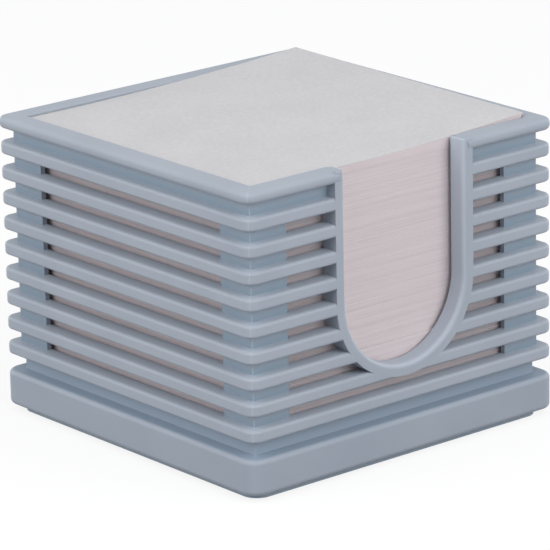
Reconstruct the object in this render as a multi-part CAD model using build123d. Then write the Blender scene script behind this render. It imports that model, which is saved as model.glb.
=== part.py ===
from build123d import *
import os

# A desk holder for loose memo paper: a ribbed square shell with a finger notch, pushed onto a base
# with the floor, and the paper that fills it. Millimetres, +Z up, the notch faces -Y.
# The origin is the middle of the footprint, on the desk.

# Paper
sheet_width = 90.0  # of a square sheet
lower_pack_height = 26.9
middle_pack_height = 17.6
thin_pack_height = 4.8
upper_pack_height = 24.4
curled_front_height = 1.9  # at the side that lies flat
curled_back_height = 2.25
front_curl_share = 0.667  # of the sheet, from its free side to where the curl starts
back_curl_share = 0.867
front_rise = 1.95  # of the free side, over the side that lies flat
back_rise = 2.4
top_sheets_height = 0.3
top_sheets_lift = 0.25  # how much further the top sheets curl up
top_sheets_slide = 0.9  # how far they have slid towards the free side, over the rim
sheet_gap = 0.5  # from a centred sheet to the rim, all round
least_gap = 0.2  # from a shifted sheet to the side that it is nearest to

# Shell
wall = 1.4
fin_count = 10  # the rim is the first
fin_height = 3.32
fin_gap = 3.49
fin_reach = 3.1  # how far the fins stand out from the wall
fin_corner = 3.0
fin_edge = 0.8
rim_lip = 0.2  # how far the rim stands past the fins
rim_edge = 1.5
rim_inner_edge = 0.5
inner_lip = 1.0  # how far the rim reaches in past the wall
wall_corner = 0.4
corner_post = 11.5  # solid wall from the corner to the end of a slot
first_slot = 2  # the gap under the rim stays solid

# Finger notch
notch_width = 39.6
notch_fin = 9  # the fin that the notch's frame stands on
frame_width = 3.1
frame_lip = 0.4  # how far the notch's frame reaches in past the wall
frame_edge = 1.3  # along the inside of the notch
frame_top_edge = 0.5

# Base
foot_height = 1.8  # from the desk to the plinth
foot_width = 5.4
foot_inset = 3.0  # how far the foot lies behind the plinth's side
foot_corner = 4.4
foot_recess = 0.9  # from the desk to the floor's underside
floor_thickness = 2.2
plinth_height = 9.4
plinth_lip = 0.5  # how far the plinth stands past the fins
plinth_corner = 4.5
plinth_edge = 1.3
plinth_skin = 1.8
neck_height = 4.36  # from the plinth to the lowest fin
neck_inset = 0.75  # how far the neck lies behind the shell's wall
tongue_height = 2.8
lap_gap = 0.1  # between the base's tongue and the shell's wall

# Widths
opening_width = sheet_width + 2 * sheet_gap
well_width = opening_width + 2 * inner_lip
shell_width = well_width + 2 * wall
fin_width = shell_width + 2 * fin_reach
rim_width = fin_width + 2 * rim_lip
plinth_width = fin_width + 2 * plinth_lip
neck_width = shell_width - 2 * neck_inset
foot_span = plinth_width - 2 * foot_inset
tongue_width = well_width - 2 * lap_gap
slot_length = shell_width - 2 * corner_post
slack = sheet_gap - least_gap
inner_corner = 1.5 * least_gap

# Heights
floor_top = foot_recess + floor_thickness
plinth_top = foot_height + plinth_height
shell_bottom = plinth_top + neck_height
fin_pitch = fin_height + fin_gap
rim_top = shell_bottom + fin_height + (fin_count - 1) * fin_pitch


def fin_bottom(number):
    return rim_top - fin_height - (number - 1) * fin_pitch


def square_block(width, corner, bottom, top):
    outline = RectangleRounded(width, width, corner)
    return Pos(0, 0, bottom) * extrude(outline, amount=top - bottom)


def rounded_plate(width, corner, edge, bottom, top):
    plate = square_block(width, corner, bottom, top)
    radius = min(edge, 0.45 * (top - bottom), 0.9 * corner)
    faces = plate.faces().sort_by(Axis.Z)
    return fillet(faces[0].edges() + faces[-1].edges(), radius)


def make_rim():
    bottom = fin_bottom(1)
    plate = rounded_plate(rim_width, fin_corner, rim_edge, bottom, rim_top)
    ring = plate - square_block(opening_width, inner_corner, bottom, rim_top)
    inner = ring.faces().sort_by(Axis.Z)[-1].inner_wires()[0]
    return fillet(inner.edges(), min(rim_inner_edge, 0.45 * fin_height))


def make_slots():
    slots = []
    for number in range(first_slot, fin_count):
        middle = fin_bottom(number) - fin_gap / 2
        slots.append(Pos(0, 0, middle) * Box(rim_width, slot_length, fin_gap))
        slots.append(Pos(0, 0, middle) * Box(slot_length, rim_width, fin_gap))
    return slots


notch_radius = notch_width / 2
notch_middle = fin_bottom(notch_fin) + frame_width + notch_radius
frame_middle = notch_radius + frame_width / 2
frame_height = rim_top - notch_middle
frame_depth = (fin_width - well_width) / 2 + frame_lip
frame_y = -(fin_width - frame_depth) / 2
frame_radius = min(frame_edge, 0.45 * frame_width)


def make_notch_cut():
    # Reaches to the middle of the frame, which covers its edge
    outline = Circle(frame_middle)
    outline += Pos(0, frame_height / 2) * Rectangle(2 * frame_middle, frame_height)
    plane = Plane(origin=(0, 0, notch_middle), x_dir=(1, 0, 0), z_dir=(0, -1, 0))
    return extrude(plane * outline, amount=rim_width)


def make_frame_bar(side):
    # A side of the frame, rounded along the inside of the notch and over its top
    place = Pos(side * frame_middle, frame_y, notch_middle + frame_height / 2)
    bar = place * Box(frame_width, frame_depth, frame_height)
    front_edges = bar.faces().sort_by(Axis.Y)[0].edges().filter_by(Axis.Z).sort_by(Axis.X)
    bar = fillet(front_edges[0 if side > 0 else -1], frame_radius)
    top_edges = bar.faces().sort_by(Axis.Z)[-1].edges().sort_by(Axis.X)
    free_edges = top_edges[:-1] if side > 0 else top_edges[1:]
    return fillet(free_edges, min(frame_top_edge, 0.8 * frame_radius))


def make_frame_bend():
    # The half ring that joins the two sides below
    section = Pos(frame_middle, frame_y) * Rectangle(frame_width, frame_depth)
    front_inner = section.vertices().sort_by(Axis.Y)[:2].sort_by(Axis.X)[0]
    section = Pos(0, 0, notch_middle) * fillet(front_inner, frame_radius)
    return revolve(section, Axis((0, 0, notch_middle), (0, 1, 0)), 180)


def make_shell():
    solid = square_block(shell_width, wall_corner, shell_bottom, fin_bottom(1))
    for number in range(2, fin_count + 1):
        bottom = fin_bottom(number)
        solid += rounded_plate(fin_width, fin_corner, fin_edge, bottom, bottom + fin_height)
    solid -= square_block(well_width, inner_corner, shell_bottom, fin_bottom(1))
    solid += make_rim()
    solid -= make_slots()
    solid -= make_notch_cut()
    return solid + [make_frame_bar(-1), make_frame_bar(1), make_frame_bend()]


def make_base():
    tongue_top = shell_bottom + tongue_height
    edge = min(plinth_edge, 0.7 * plinth_skin)
    solid = rounded_plate(plinth_width, plinth_corner, edge, foot_height, plinth_top)
    hollow_width = plinth_width - 2 * plinth_skin
    hollow_corner = max(plinth_corner - plinth_skin, wall_corner)
    hollow_top = plinth_top - plinth_skin
    solid -= square_block(hollow_width, hollow_corner, foot_height, hollow_top)
    solid += square_block(foot_span, foot_corner, 0, hollow_top)
    solid += square_block(neck_width, wall_corner, hollow_top, shell_bottom)
    solid += square_block(tongue_width, inner_corner, shell_bottom, tongue_top)
    solid -= square_block(opening_width, inner_corner, floor_top, tongue_top)
    recess_width = foot_span - 2 * foot_width
    recess_corner = max(foot_corner - foot_width, wall_corner)
    return solid - square_block(recess_width, recess_corner, 0, foot_recess)


def make_pack(height, bottom, shift_x, shift_y):
    # Shifts are from -1 to 1 of the slack that a pack has in the holder
    place = Pos(shift_x * slack, shift_y * slack, bottom + height / 2)
    return place * Box(sheet_width, sheet_width, height)


def curled_outline(x, y, curl, low, high, low_rise, high_rise):
    # Seen from the front: flat on the left, then curling up to the right
    left = x - sheet_width / 2
    right = x + sheet_width / 2
    start = (0.5 - curl) * sheet_width
    flat = (1, 0)
    outline = Line((left, high), (start, high))
    outline += TangentArc((start, high), (right, high + high_rise), tangent=flat)
    outline += Line((right, high + high_rise), (right, low + low_rise))
    if low_rise > 0:
        outline += TangentArc((start, low), (right, low + low_rise), tangent=flat)
        outline += Line((start, low), (left, low))
    else:
        outline += Line((right, low), (left, low))
    outline += Line((left, low), (left, high))
    plane = Plane(origin=(0, y, 0), x_dir=(1, 0, 0), z_dir=(0, -1, 0))
    return plane * make_face(outline)


def make_curled_pack(x, ends, bottom):
    outlines = []
    for y, curl, height, rise in ends:
        outlines.append(curled_outline(x, y, curl, bottom, bottom + height, 0, rise))
    return loft(outlines, ruled=True)


def make_top_sheets(x, ends, bottom):
    outlines = []
    for y, curl, height, rise in ends:
        low = bottom + height
        lift = rise + top_sheets_lift
        outlines.append(curled_outline(x, y, curl, low, low + top_sheets_height, lift, lift))
    return loft(outlines, ruled=True)


nodes = {"ribbed_shell": make_shell(), "base_tray": make_base()}

packs = (
    ("paper_lower_pack", lower_pack_height, -0.4, -1.0),
    ("paper_middle_pack", middle_pack_height, -0.2, 1.0),
    ("paper_thin_pack", thin_pack_height, 0.6, 0.7),
    ("paper_upper_pack", upper_pack_height, 0.5, 0.5),
)
level = floor_top
for name, height, shift_x, shift_y in packs:
    nodes[name] = make_pack(height, level, shift_x, shift_y)
    level += height

curled_ends = (
    (-sheet_width / 2, front_curl_share, curled_front_height, front_rise),
    (sheet_width / 2, back_curl_share, curled_back_height, back_rise),
)
nodes["paper_curled_pack"] = make_curled_pack(0.9 * slack, curled_ends, level)
nodes["top_sheets"] = make_top_sheets(top_sheets_slide, curled_ends, level)

os.makedirs("parts", exist_ok=True)
for name, shape in nodes.items():
    export_step(shape, f"parts/{name}.step")
    size = shape.bounding_box().size
    print(f"{name}: {size.X:.2f} x {size.Y:.2f} x {size.Z:.2f} mm, {shape.volume / 1000:.2f} cm3")
print(f"rim top {rim_top:.2f}, floor {floor_top:.2f}, notch bottom {notch_middle - notch_radius:.2f} mm")
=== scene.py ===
import math
import bpy
from mathutils import Matrix, Vector


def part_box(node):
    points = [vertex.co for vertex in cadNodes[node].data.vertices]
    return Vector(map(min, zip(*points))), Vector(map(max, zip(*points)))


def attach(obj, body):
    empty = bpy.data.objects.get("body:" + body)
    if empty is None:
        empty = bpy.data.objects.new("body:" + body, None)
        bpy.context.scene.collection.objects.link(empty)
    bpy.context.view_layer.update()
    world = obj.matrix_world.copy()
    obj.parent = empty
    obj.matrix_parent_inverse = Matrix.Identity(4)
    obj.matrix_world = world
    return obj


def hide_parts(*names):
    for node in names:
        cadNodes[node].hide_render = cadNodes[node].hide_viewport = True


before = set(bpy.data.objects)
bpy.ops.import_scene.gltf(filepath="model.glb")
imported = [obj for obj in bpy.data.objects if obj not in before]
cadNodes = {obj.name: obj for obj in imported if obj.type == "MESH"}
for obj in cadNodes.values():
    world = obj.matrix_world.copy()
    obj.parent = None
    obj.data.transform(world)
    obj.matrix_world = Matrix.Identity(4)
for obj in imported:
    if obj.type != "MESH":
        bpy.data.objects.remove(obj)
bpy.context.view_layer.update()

mm = 0.001
print("frame loaded:", len(cadNodes), "CAD nodes")


class Wire:
    # one socket of a node tree; sums and products of wires add Math nodes
    def __init__(self, tree, socket=None):
        self.tree = tree
        self.socket = socket

    def node(self, kind, settings=None, sockets=None, out=0):
        made = self.tree.nodes.new(kind)
        for name, value in (settings or {}).items():
            setattr(made, name, value)
        for key, value in (sockets or {}).items():
            if isinstance(value, Wire):
                self.tree.links.new(value.socket, made.inputs[key])
            else:
                made.inputs[key].default_value = value
        return Wire(self.tree, made.outputs[out]) if len(made.outputs) else None

    def output(self, name):
        return Wire(self.tree, self.socket.node.outputs[name])

    def maths(self, operation, *values):
        return self.node("ShaderNodeMath", {"operation": operation}, dict(enumerate(values)))

    def __add__(self, other):
        return self.maths("ADD", self, other)

    def __radd__(self, other):
        return self.maths("ADD", other, self)

    def __sub__(self, other):
        return self.maths("SUBTRACT", self, other)

    def __rsub__(self, other):
        return self.maths("SUBTRACT", other, self)

    def __mul__(self, other):
        return self.maths("MULTIPLY", self, other)

    def __rmul__(self, other):
        return self.maths("MULTIPLY", other, self)

    def __truediv__(self, other):
        return self.maths("DIVIDE", self, other)

    def __abs__(self):
        return self.maths("ABSOLUTE", self)

    def over(self, low, high):  # 0 below low, 1 above high, smooth between them
        ends = {0: self, 1: low, 2: high}
        return self.node("ShaderNodeMapRange", {"interpolation_type": "SMOOTHSTEP"}, ends)

    def between(self, low, high):  # low at 0, high at 1
        return low + (high - low) * self


def mixColour(factor, first, second, blend="MIX"):
    settings = {"data_type": "RGBA", "blend_type": blend}
    return factor.node("ShaderNodeMix", settings, {0: factor, 6: first, 7: second}, out=2)


def joinAxes(x, y, z):
    wire = next(part for part in (x, y, z) if isinstance(part, Wire))
    return wire.node("ShaderNodeCombineXYZ", {}, {"X": x, "Y": y, "Z": z})


def splitAxes(vector):
    parts = vector.node("ShaderNodeSeparateXYZ", {}, {"Vector": vector})
    return [parts.output(axis) for axis in "XYZ"]


def noise(vector, scale, detail=2.0, roughness=0.5):
    sockets = {"Vector": vector, "Scale": scale, "Detail": detail, "Roughness": roughness}
    return vector.node("ShaderNodeTexNoise", {}, sockets)


def newMaterial(name):
    material = bpy.data.materials.new(name)
    material.use_nodes = True
    material.node_tree.nodes.clear()
    return material, Wire(material.node_tree)


# Where the holder's fins and finger notch lie
holderPlaces = {
    "lowestFin": 15.56 * mm,
    "finPitch": 6.81 * mm,
    "finShare": 0.49,  # of the pitch, the rest is the groove
    "wallReach": 48.6 * mm,  # the walls lie within it, counted from the holder's middle
    "finReach": 50.0 * mm,  # the fins' faces lie past it
    "belowRim": 75.0 * mm,  # between the rim and the fin under it
    "notchMiddle": 45.27 * mm,  # of its round lower half
    "notchRadius": 19.8 * mm,
    "notchBack": -45.6 * mm,
}

# Satin moulded plastic of the holder
plastic = {
    "colour": (0.346, 0.386, 0.446, 1),
    "paleColour": (0.372, 0.412, 0.472, 1),  # clouds in the moulding
    "paintedBounceColour": (0.400, 0.462, 0.536, 1),  # painted bounce light: the wall between the fins, paler and bluer near its top
    "paintedGrooveShade": (0.258, 0.330, 0.402, 1),  # painted shade: the same wall lower down, darker towards the foot of the groove
    "paintedLedgeTone": (0.425, 0.473, 0.540, 1),  # painted light: the flat tops of the fins, paler
    "paintedNotchLight": (0.430, 0.478, 0.548, 1),  # painted light on the inner side of the notch's frame
    "seamHighlightColour": (0.480, 0.520, 0.580, 1),  # where the mould halves met, paler: partly a painted highlight down the corners
    "seamHalfWidth": 0.22 * mm,
    "seamStrength": 0.45,
    "seamRidge": 2.5,
    "cloudScale": 38.0,
    "dragScale": 240.0,  # faint lines along the fins
    "dragStretch": 6.0,
    "dragDepth": 0.4,
    "grainScale": 2600.0,
    "grainDepth": 0.03 * mm,
    "bumpStrength": 0.35,
    "roughness": 0.50,
    "cloudRoughness": 0.10,
    "dragRoughness": 0.06,
    "specular": 0.22,
}
basePlastic = {  # the base is its own moulding, coloured a shade darker as painted shade low on the holder
    **plastic,
    "colour": (0.316, 0.358, 0.418, 1),
    "paleColour": (0.340, 0.382, 0.442, 1),
    # painted bounce light and painted shade, as on the shell
    "paintedBounceColour": (0.372, 0.438, 0.518, 1),
    "paintedGrooveShade": (0.318, 0.386, 0.466, 1),
    "paintedLedgeTone": (0.290, 0.358, 0.440, 1),  # painted shade round the neck, as on the walls
    "seamStrength": 0.06,
}


def recessMask(places, facing, x, y):  # 1 on the outside of the walls, behind the fins, where painted bounce light and shade go
    reach = x.maths("MAXIMUM", abs(x), abs(y))
    outward = (facing[0] * x + facing[1] * y) / reach
    return outward.over(0.5, 0.9) * (1 - reach.over(places["wallReach"], places["finReach"]))


def grooveRise(places, z):  # 0 at the foot of the groove between two fins, 1 at its top
    fins = (z - places["lowestFin"]) / places["finPitch"]
    return fins.maths("FRACT", fins).over(places["finShare"], 1.0)


def flatLedge(places, facing, z):  # 1 on flat tops below the rim
    return facing[2].over(0.9, 0.99) * (1 - z.over(places["belowRim"] - 1 * mm, places["belowRim"]))


def notchInside(places, x, y, z):  # 1 on the inner side of the notch's frame
    drop = z - places["notchMiddle"]
    drop = drop.maths("MINIMUM", drop, 0.0)
    reach = drop.maths("SQRT", x * x + drop * drop) - places["notchRadius"]
    depth = y - places["notchBack"]
    return (1 - reach.over(0.3 * mm, 1.0 * mm)) * (1 - depth.over(0.0, 0.4 * mm))


def mouldSeam(look, x, y):  # down the four corners
    width = look["seamHalfWidth"]
    line = 1 - abs(abs(x) - abs(y)).over(0.3 * width, width)
    return line * look["seamStrength"]


def makeHolderPlastic(name, look):
    material, net = newMaterial(name)
    place = net.node("ShaderNodeTexCoord", out="Object")
    x, y, z = splitAxes(place)
    facing = splitAxes(net.node("ShaderNodeNewGeometry", out="True Normal"))
    cloud = noise(place, look["cloudScale"], 3.0)
    drag = noise(joinAxes(x, y, z * look["dragStretch"]), look["dragScale"])
    grain = noise(place, look["grainScale"], 2.0, 0.6)
    seam = mouldSeam(look, x, y)
    # painted light and shade on the walls between the fins: paler and bluer up top, darker at the foot
    paintedWallTone = mixColour(grooveRise(holderPlaces, z), look["paintedGrooveShade"], look["paintedBounceColour"])
    tone = mixColour(cloud.over(0.3, 0.7), look["colour"], look["paleColour"])
    tone = mixColour(recessMask(holderPlaces, facing, x, y), tone, paintedWallTone)
    # painted light on the flat fin tops, painted shade round the base's neck
    tone = mixColour(flatLedge(holderPlaces, facing, z), tone, look["paintedLedgeTone"])
    # painted light inside the notch
    tone = mixColour(notchInside(holderPlaces, x, y, z), tone, look["paintedNotchLight"])
    # mould seam, its paler colour partly a painted highlight
    tone = mixColour(seam, tone, look["seamHighlightColour"])
    roughness = look["roughness"] + (cloud - 0.5) * look["cloudRoughness"]
    roughness = roughness + (drag - 0.5) * look["dragRoughness"]
    bump = net.node("ShaderNodeBump", {}, {
        "Strength": look["bumpStrength"],
        "Distance": look["grainDepth"],
        "Height": grain + drag * look["dragDepth"] + seam * look["seamRidge"],
    })
    shader = net.node("ShaderNodeBsdfPrincipled", {}, {
        "Base Color": tone,
        "Roughness": roughness,
        "Specular IOR Level": look["specular"],
        "Normal": bump,
    })
    net.node("ShaderNodeOutputMaterial", {}, {"Surface": shader})
    return material


# Uncoated white memo paper, seen on its faces and on its cut edges
paper = {
    "faceColour": (0.622, 0.616, 0.628, 1),
    "faceShade": (0.574, 0.568, 0.582, 1),
    "edgeColour": (0.705, 0.630, 0.645, 1),
    "edgeShade": (0.640, 0.560, 0.577, 1),
    "fibreScale": 900.0,
    "fibreDepth": 0.02 * mm,
    "cloudScale": 60.0,
    "fineCuts": (40.0, 5200.0),  # lines along the edges: their scale along a sheet and up the stack
    "wideCuts": (22.0, 900.0),
    "bumpStrength": 0.4,
    "roughness": 0.86,
    "specular": 0.2,
}


def cutLines(scales, x, y, sheetRun, detail):
    along, upwards = scales
    return noise(joinAxes(x * along, y * along, sheetRun * upwards), 1.0, detail)


def makeMemoPaper(look):
    material, net = newMaterial("memoPaper")
    place = net.node("ShaderNodeTexCoord", out="Object")
    x, y = splitAxes(place)[:2]
    sheetRun = net.node("ShaderNodeAttribute", {"attribute_name": "sheetRun"}, out="Fac")
    sheetTone = net.node("ShaderNodeAttribute", {"attribute_name": "sheetTone"}, out="Fac")
    normal = net.node("ShaderNodeNewGeometry", out="True Normal")
    cut = 1 - abs(splitAxes(normal)[2]).over(0.5, 0.9)  # 1 on the cut edges
    fibres = noise(place, look["fibreScale"], 4.0, 0.65)
    clouds = noise(place, look["cloudScale"])
    fineCuts = cutLines(look["fineCuts"], x, y, sheetRun, 2.0)
    wideCuts = cutLines(look["wideCuts"], x, y, sheetRun, 3.0)
    mottle = (fibres * 0.7 + clouds * 0.3).over(0.36, 0.64)
    faceTone = mixColour(mottle, look["faceShade"], look["faceColour"])
    lines = (fineCuts * 0.45 + wideCuts * 0.35 + sheetTone * 0.2).over(0.32, 0.58)
    edgeTone = mixColour(lines, look["edgeShade"], look["edgeColour"])
    bump = net.node("ShaderNodeBump", {}, {
        "Strength": look["bumpStrength"],
        "Distance": look["fibreDepth"],
        "Height": mixColour(cut, fibres, fineCuts),
    })
    shader = net.node("ShaderNodeBsdfPrincipled", {}, {
        "Base Color": mixColour(cut, faceTone, edgeTone),
        "Roughness": look["roughness"],
        "Specular IOR Level": look["specular"],
        "Normal": bump,
    })
    net.node("ShaderNodeOutputMaterial", {}, {"Surface": shader})
    return material


memoPaper = makeMemoPaper(paper)
mouldings = {
    "ribbed_shell": makeHolderPlastic("shellPlastic", plastic),
    "base_tray": makeHolderPlastic("basePlastic", basePlastic),
}
for name, material in mouldings.items():
    for slot in cadNodes[name].material_slots:
        slot.material = material
print("materials made:", memoPaper.name, *[material.name for material in mouldings.values()])


# A stack of loose sheets: layer on layer, each slid and turned a little, curling up towards +X
stackInputs = {
    "Layers": "NodeSocketInt",
    "Cells": "NodeSocketInt",
    "Sheet Size": "NodeSocketFloat",
    "Fill": "NodeSocketFloat",
    "Centre X": "NodeSocketFloat",
    "Centre Y": "NodeSocketFloat",
    "Front Base": "NodeSocketFloat",
    "Back Base": "NodeSocketFloat",
    "Front Height": "NodeSocketFloat",
    "Back Height": "NodeSocketFloat",
    "Front Start": "NodeSocketFloat",
    "Back Start": "NodeSocketFloat",
    "Front Low Rise": "NodeSocketFloat",
    "Back Low Rise": "NodeSocketFloat",
    "Front Rise": "NodeSocketFloat",
    "Back Rise": "NodeSocketFloat",
    "Drift": "NodeSocketFloat",
    "Jitter": "NodeSocketFloat",
    "Turn": "NodeSocketFloat",
    "Seed": "NodeSocketInt",
}


def storeNumber(geometry, name, value):
    settings = {"data_type": "FLOAT", "domain": "POINT"}
    sockets = {"Geometry": geometry, "Name": name, "Value": value}
    return geometry.node("GeometryNodeStoreNamedAttribute", settings, sockets)


def makeStackTree(material):
    tree = bpy.data.node_groups.new("sheetStack", "GeometryNodeTree")
    tree.interface.new_socket("Geometry", in_out="OUTPUT", socket_type="NodeSocketGeometry")
    for name, kind in stackInputs.items():
        tree.interface.new_socket(name, in_out="INPUT", socket_type=kind)
    net = Wire(tree)
    given = net.node("NodeGroupInput")
    layers = given.output("Layers")
    sheetSize = given.output("Sheet Size")
    seed = given.output("Seed")

    # One point for each layer: small jumps from sheet to sheet on a slow drift
    index = net.node("GeometryNodeInputIndex")
    limits = {0: (-1, -1, 0), 1: (1, 1, 1), "Seed": seed}
    jumps = splitAxes(net.node("FunctionNodeRandomValue", {"data_type": "FLOAT_VECTOR"}, limits))
    drift = noise(joinAxes(seed * 7.3, 0.0, index * 0.09), 1.0).output("Color")
    driftX, driftY, driftTurn = splitAxes(drift)
    slideX = (driftX - 0.5) * 2 * given.output("Drift") + jumps[0] * given.output("Jitter")
    slideY = (driftY - 0.5) * 2 * given.output("Drift") + jumps[1] * given.output("Jitter")
    turn = (driftTurn - 0.5) * 2 * given.output("Turn")
    slide = joinAxes(slideX, slideY, 0.0)
    points = net.node("GeometryNodePoints", {}, {"Count": layers, "Position": slide})
    points = storeNumber(points, "sheetShare", (index + 0.5) / layers)
    points = storeNumber(points, "sheetTone", jumps[2])

    cells = given.output("Cells")
    sheet = net.node("GeometryNodeMeshCube", {}, {
        "Size": joinAxes(sheetSize, sheetSize, 1.0),
        "Vertices X": cells,
        "Vertices Y": cells,
        "Vertices Z": 2,
    })
    rotation = net.node("FunctionNodeEulerToRotation", {}, {"Euler": joinAxes(0.0, 0.0, turn)})
    stack = net.node("GeometryNodeInstanceOnPoints", {}, {
        "Points": points,
        "Instance": sheet,
        "Rotation": rotation,
    })
    stack = net.node("GeometryNodeRealizeInstances", {}, {"Geometry": stack})

    # Every point goes to its height in the stack, and the free side curls up
    x, y, z = splitAxes(net.node("GeometryNodeInputPosition"))
    share = net.node("GeometryNodeInputNamedAttribute", {"data_type": "FLOAT"}, {"Name": "sheetShare"})
    share = share + z * given.output("Fill") / layers
    back = y / sheetSize + 0.5  # 0 at the front, 1 at the back

    def acrossSheet(name):
        return back.between(given.output("Front " + name), given.output("Back " + name))

    start = acrossSheet("Start")
    bend = (x - start) / (sheetSize * 0.5 - start)
    bend = bend.maths("MAXIMUM", bend, 0.0)
    rise = share.between(acrossSheet("Low Rise"), acrossSheet("Rise"))
    level = share * acrossSheet("Height")
    place = joinAxes(
        x + given.output("Centre X"),
        y + given.output("Centre Y"),
        acrossSheet("Base") + level + rise * bend * bend,
    )
    stack = storeNumber(stack, "sheetRun", level)
    stack = net.node("GeometryNodeSetPosition", {}, {"Geometry": stack, "Position": place})
    stack = net.node("GeometryNodeSetMaterial", {}, {"Geometry": stack, "Material": material})
    net.node("NodeGroupOutput", {}, {"Geometry": stack})
    return tree


def plainMesh(name, tree, values):
    piece = bpy.data.objects.new(name, bpy.data.meshes.new(name))
    bpy.context.scene.collection.objects.link(piece)
    modifier = piece.modifiers.new(name, "NODES")
    modifier.node_group = tree
    for item in tree.interface.items_tree:
        if item.in_out == "INPUT":
            modifier[item.identifier] = values[item.name]
    graph = bpy.context.evaluated_depsgraph_get()
    mesh = bpy.data.meshes.new_from_object(
        piece.evaluated_get(graph), preserve_all_data_layers=True, depsgraph=graph)
    piece.modifiers.remove(modifier)
    piece.data = mesh
    mesh.name = name
    mesh.shade_smooth()
    mesh.set_sharp_from_angle(angle=math.radians(30))
    return piece


sheetSize = 90.0 * mm
flatPack = {
    "Cells": 4,
    "Fill": 0.90,
    "Drift": 0.10 * mm,
    "Jitter": 0.05 * mm,
    "Turn": math.radians(0.05),
    "layerHeight": 0.25 * mm,
}
flatPacks = {
    "lowerSheets": {"node": "paper_lower_pack", "body": "lower_paper", "Seed": 3},
    "middleSheets": {"node": "paper_middle_pack", "body": "middle_paper", "Seed": 11},
    "thinSheets": {"node": "paper_thin_pack", "body": "thin_paper", "Seed": 17},
    "upperSheets": {"node": "paper_upper_pack", "body": "upper_paper", "Seed": 29},
}
curledPack = {
    "node": "paper_curled_pack",
    "body": "curled_paper",
    "Layers": 18,
    "Cells": 40,
    "Fill": 0.92,
    "Front Height": 1.9 * mm,
    "Back Height": 2.25 * mm,
    "Front Start": -15.03 * mm,
    "Back Start": -33.03 * mm,
    "Front Rise": 1.95 * mm,
    "Back Rise": 2.4 * mm,
    "Drift": 0.08 * mm,
    "Jitter": 0.04 * mm,
    "Turn": math.radians(0.04),
    "Seed": 41,
}
topSheets = {
    "node": "top_sheets",
    "body": "loose_paper",
    "Layers": 3,
    "Cells": 60,
    "Fill": 0.8,
    "Front Height": 0.3 * mm,
    "Back Height": 0.3 * mm,
    "Front Start": -15.03 * mm,
    "Back Start": -33.03 * mm,
    "Front Low Rise": 1.98 * mm,
    "Back Low Rise": 2.43 * mm,
    "Front Rise": 2.2 * mm,
    "Back Rise": 2.65 * mm,
    "Drift": 0.05 * mm,
    "Jitter": 0.05 * mm,
    "Turn": math.radians(0.05),
    "Seed": 53,
}


def stackPiece(name, tree, settings):
    low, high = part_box(settings["node"])
    values = dict.fromkeys(stackInputs, 0.0)
    values.update({
        "Sheet Size": sheetSize,
        "Centre X": (low.x + high.x) / 2,
        "Centre Y": (low.y + high.y) / 2,
        "Front Base": low.z,
        "Back Base": low.z,
        "Front Height": high.z - low.z,
        "Back Height": high.z - low.z,
    })
    values.update({key: value for key, value in settings.items() if key in stackInputs})
    piece = plainMesh(name, tree, values)
    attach(piece, settings["body"])
    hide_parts(settings["node"])
    return piece


stackTree = makeStackTree(memoPaper)
for name, own in flatPacks.items():
    low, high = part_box(own["node"])
    layers = round((high.z - low.z) / flatPack["layerHeight"])
    stackPiece(name, stackTree, {**flatPack, **own, "Layers": layers})
stackPiece("curledSheets", stackTree, curledPack)
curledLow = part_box("paper_curled_pack")[0].z
topSheets["Front Base"] = curledLow + curledPack["Front Height"]
topSheets["Back Base"] = curledLow + curledPack["Back Height"]
stackPiece("looseSheets", stackTree, topSheets)
print("paper stacked:", len(flatPacks) + 2, "groups of sheets")


# Pale floor, white surroundings and soft light from the front and above
studio = {
    "floorColour": (0.34, 0.34, 0.35, 1),  # what it throws back at the holder
    "floorWhite": 0.84,  # how much of it is plain white to the camera
    "floorReach": 4.0,
    "ambient": (0.97, 0.98, 1.0, 1),
    "ambientLevel": 0.43,
    "aim": (0.0, 0.0, 0.04),
    "lamps": (  # azimuth from the front, elevation, distance, width, power
        ("leftSoft", -93, 31, 0.95, 0.90, 5.3),
        ("frontSoft", 6, 31, 0.95, 0.90, 5.8),
        ("rightSoft", 86, 12, 1.10, 0.50, 2.4),
        ("backSoft", 194, 12, 1.10, 0.50, 2.4),
    ),
}


def awayFrom(azimuth, elevation):  # degrees, the front is at 0
    turn = math.radians(azimuth)
    rise = math.radians(elevation)
    return Vector((math.sin(turn) * math.cos(rise), -math.cos(turn) * math.cos(rise), math.sin(rise)))


def backdropRays(net):
    rays = net.node("ShaderNodeLightPath")
    seen = rays + rays.output("Is Glossy Ray") + rays.output("Is Transmission Ray")
    return seen.maths("MINIMUM", seen, 1.0)


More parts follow.
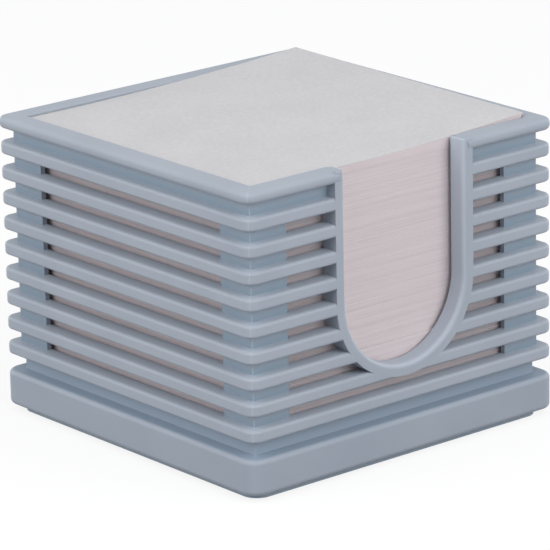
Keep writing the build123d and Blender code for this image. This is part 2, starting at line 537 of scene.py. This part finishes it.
def makeStudio(look):
    world = bpy.data.worlds.new("studio")
    world.use_nodes = True
    world.node_tree.nodes.clear()
    net = Wire(world.node_tree)
    ambient = {"Color": look["ambient"], "Strength": look["ambientLevel"]}
    soft = net.node("ShaderNodeBackground", {}, ambient)
    white = net.node("ShaderNodeBackground", {}, {"Color": (1, 1, 1, 1), "Strength": 1.0})
    mixed = net.node("ShaderNodeMixShader", {}, {0: backdropRays(net), 1: soft, 2: white})
    net.node("ShaderNodeOutputWorld", {}, {"Surface": mixed})
    bpy.context.scene.world = world

    material, net = newMaterial("paleFloor")
    shade = net.node("ShaderNodeBsdfDiffuse", {}, {"Color": look["floorColour"]})
    shadow = net.node("ShaderNodeBsdfDiffuse", {}, {"Color": (1, 1, 1, 1)})
    white = net.node("ShaderNodeEmission", {}, {"Color": (1, 1, 1, 1), "Strength": 1.0})
    shown = net.node("ShaderNodeMixShader", {}, {0: look["floorWhite"], 1: shadow, 2: white})
    mixed = net.node("ShaderNodeMixShader", {}, {0: backdropRays(net), 1: shade, 2: shown})
    net.node("ShaderNodeOutputMaterial", {}, {"Surface": mixed})
    mesh = bpy.data.meshes.new("floor")
    reach = look["floorReach"]
    corners = [(-reach, -reach, 0), (reach, -reach, 0), (reach, reach, 0), (-reach, reach, 0)]
    mesh.from_pydata(corners, [], [(0, 1, 2, 3)])
    mesh.materials.append(material)
    floor = bpy.data.objects.new("floor", mesh)
    bpy.context.scene.collection.objects.link(floor)

    aim = Vector(look["aim"])
    for name, azimuth, elevation, distance, size, power in look["lamps"]:
        lamp = bpy.data.lights.new(name, "AREA")
        lamp.shape = "DISK"
        lamp.size = size
        lamp.energy = power
        lampObject = bpy.data.objects.new(name, lamp)
        away = awayFrom(azimuth, elevation)
        lampObject.location = aim + away * distance
        lampObject.rotation_euler = away.to_track_quat("Z", "Y").to_euler()
        lampObject.visible_camera = False
        bpy.context.scene.collection.objects.link(lampObject)
    bpy.context.scene.view_settings.view_transform = "Standard"


makeStudio(studio)
print("studio set:", len(studio["lamps"]), "lamps")


# Camera in the photo's place: azimuth from the front, in degrees, lengths in mm
cameraView = {
    "azimuth": -39.682,
    "elevation": 17.2845,
    "distance": 1151.711,
    "lens": 286.835,
    "roll": -1.205,
    "across": -0.3135,
    "up": 35.5776,
}


def addCamera(view):
    away = awayFrom(view["azimuth"], view["elevation"])
    right = Vector((0, 0, 1)).cross(away).normalized()
    up = away.cross(right)
    roll = Matrix.Rotation(math.radians(view["roll"]), 3, "Z")
    turned = Matrix((right, up, away)).transposed() @ roll
    place = (right * view["across"] + up * view["up"] + away * view["distance"]) * mm
    data = bpy.data.cameras.new("photoCamera")
    data.sensor_width = 36.0
    data.lens = view["lens"]
    data.clip_start = 0.01
    camera = bpy.data.objects.new("photoCamera", data)
    camera.matrix_world = Matrix.Translation(place) @ turned.to_4x4()
    bpy.context.scene.collection.objects.link(camera)
    bpy.context.scene.camera = camera


addCamera(cameraView)
print("camera placed")
